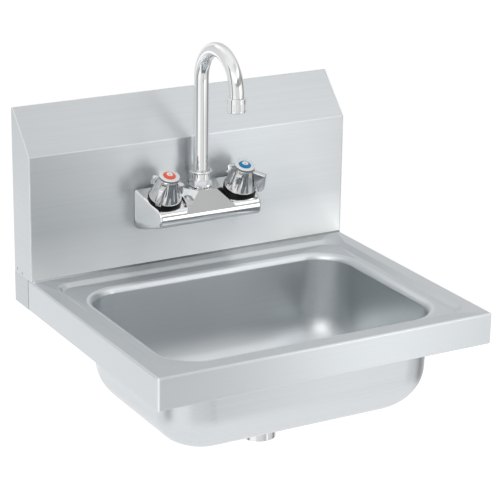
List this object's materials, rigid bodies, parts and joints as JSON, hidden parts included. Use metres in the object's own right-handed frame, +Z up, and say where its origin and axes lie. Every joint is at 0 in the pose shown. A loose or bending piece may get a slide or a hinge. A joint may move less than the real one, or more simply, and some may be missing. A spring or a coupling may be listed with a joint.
{
  "type": "hand basin",
  "caption": "Wall-hung sheet-steel hand basin with splashback, gooseneck swivel tap with two lever valves, basket strainer drain and wall bracket.",
  "frame": {"origin": "middle of the wall bracket's bolt row, on the wall plane", "axes": "+X to the viewer's right, +Y towards the wall, +Z up"},
  "size_m": [0.435, 0.3873, 0.4604],
  "materials": {
    "basin_steel": "satin brushed sheet, grain along the width",
    "bracket_steel": "mill finish",
    "drain_steel": "polished",
    "locknut_metal": "cast, matt",
    "drain_rubber": "matt",
    "fibre": "pressed fibre",
    "tap_chrome": "bright polished plating",
    "tap_gasket_rubber": "matt",
    "shank_brass": "turned, unplated",
    "washer_steel": "zinc plated",
    "seal_rubber": "smooth",
    "bearing_plastic": "moulded",
    "valve_brass": "turned",
    "disc_ceramic": "lapped ceramic",
    "shroud_black": "matt black",
    "cap_satin": "satin plated",
    "hot_red": "gloss",
    "cold_blue": "gloss",
    "button_ivory": "gloss",
    "screw_steel": "plain"
  },
  "bodies": {
    "basin": {"deck": "basin_steel", "bowl": "basin_steel", "backsplash": "basin_steel", "splash_end_left": "basin_steel", "splash_end_right": "basin_steel", "rear_skirt_left": "basin_steel", "rear_skirt_right": "basin_steel", "wall_bracket": "bracket_steel", "strainer_body": "drain_steel", "strainer_locknut": "locknut_metal", "strainer_gasket": "drain_rubber", "strainer_washer": "fibre", "tap_body": "tap_chrome", "spout_nut": "tap_chrome", "tap_gasket": "tap_gasket_rubber", "hot_inlet_shank": "shank_brass", "cold_inlet_shank": "shank_brass", "shank_locknuts": "shank_brass", "shank_washers": "washer_steel", "hot_seat_seal": "seal_rubber", "cold_seat_seal": "seal_rubber", "spout_bushing": "bearing_plastic", "hot_valve_body": "valve_brass", "cold_valve_body": "valve_brass", "hot_fixed_disc": "disc_ceramic", "cold_fixed_disc": "disc_ceramic", "hot_shroud": "shroud_black", "cold_shroud": "shroud_black"},
    "hot_handle": {"hot_turning_disc": "disc_ceramic", "hot_valve_stem": "valve_brass", "hot_handle": "tap_chrome", "hot_index_cap": "cap_satin", "hot_index_ring": "hot_red", "hot_index_button": "button_ivory", "hot_handle_screw": "screw_steel"},
    "cold_handle": {"cold_turning_disc": "disc_ceramic", "cold_valve_stem": "valve_brass", "cold_handle": "tap_chrome", "cold_index_cap": "cap_satin", "cold_index_ring": "cold_blue", "cold_index_button": "button_ivory", "cold_handle_screw": "screw_steel"},
    "spout": {"spout_tube": "tap_chrome", "spout_o_rings": "seal_rubber", "aerator_housing": "tap_chrome", "aerator_washer": "seal_rubber", "aerator_insert": "bearing_plastic"},
    "basket": {"strainer_basket": "drain_steel", "basket_stopper": "drain_rubber"}
  },
  "joints": [
    {"name": "hot_valve", "type": "hinge", "parent": "basin", "child": "hot_handle", "pos_m": [-0.052, -0.077, -0.07612], "axis": [0, -0.3584, 0.9336], "range_deg": [0, 90]},
    {"name": "cold_valve", "type": "hinge", "parent": "basin", "child": "cold_handle", "pos_m": [0.052, -0.077, -0.07612], "axis": [0, 0.3584, -0.9336], "range_deg": [0, 90]},
    {"name": "spout_swivel", "type": "hinge", "parent": "basin", "child": "spout", "pos_m": [0, -0.0725, -0.06638], "axis": [0, 0, 1], "range_deg": [-110, 110]},
    {"name": "basket_lift", "type": "slide", "parent": "basin", "child": "basket", "axis": [0, 0, 1], "range_m": [0, 0.012]}
  ]
}
